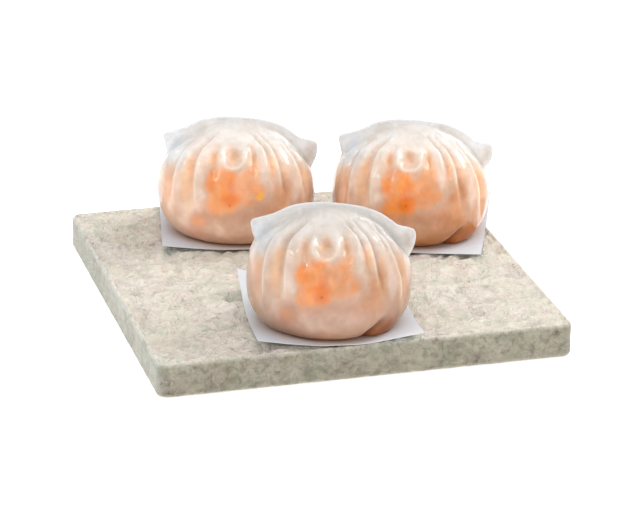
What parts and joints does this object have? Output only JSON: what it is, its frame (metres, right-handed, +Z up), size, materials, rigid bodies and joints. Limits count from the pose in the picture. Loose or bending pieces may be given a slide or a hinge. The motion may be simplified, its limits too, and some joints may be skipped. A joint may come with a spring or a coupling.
{
  "type": "har gow dumplings on a slab",
  "caption": "Pleated har gow dumplings with milky translucent skins and winged crests, each on a curled square of white paper, served on a square slab of rough pale stone.",
  "frame": {"origin": "middle of the slab's underside", "axes": "+X to the right along the slab's front edge, +Y to its back, +Z up; the pleated sides of the dumplings face -Y"},
  "size_m": [0.1271, 0.1295, 0.0457],
  "materials": {
    "stone": "matte",
    "paper": "matte",
    "dumpling_skin": "satin"
  },
  "bodies": {
    "root": {"stone_slab": "stone", "paper_front": "paper", "paper_left": "paper", "paper_right": "paper", "dumpling_front": "dumpling_skin", "dumpling_left": "dumpling_skin", "dumpling_right": "dumpling_skin"}
  },
  "joints": []
}
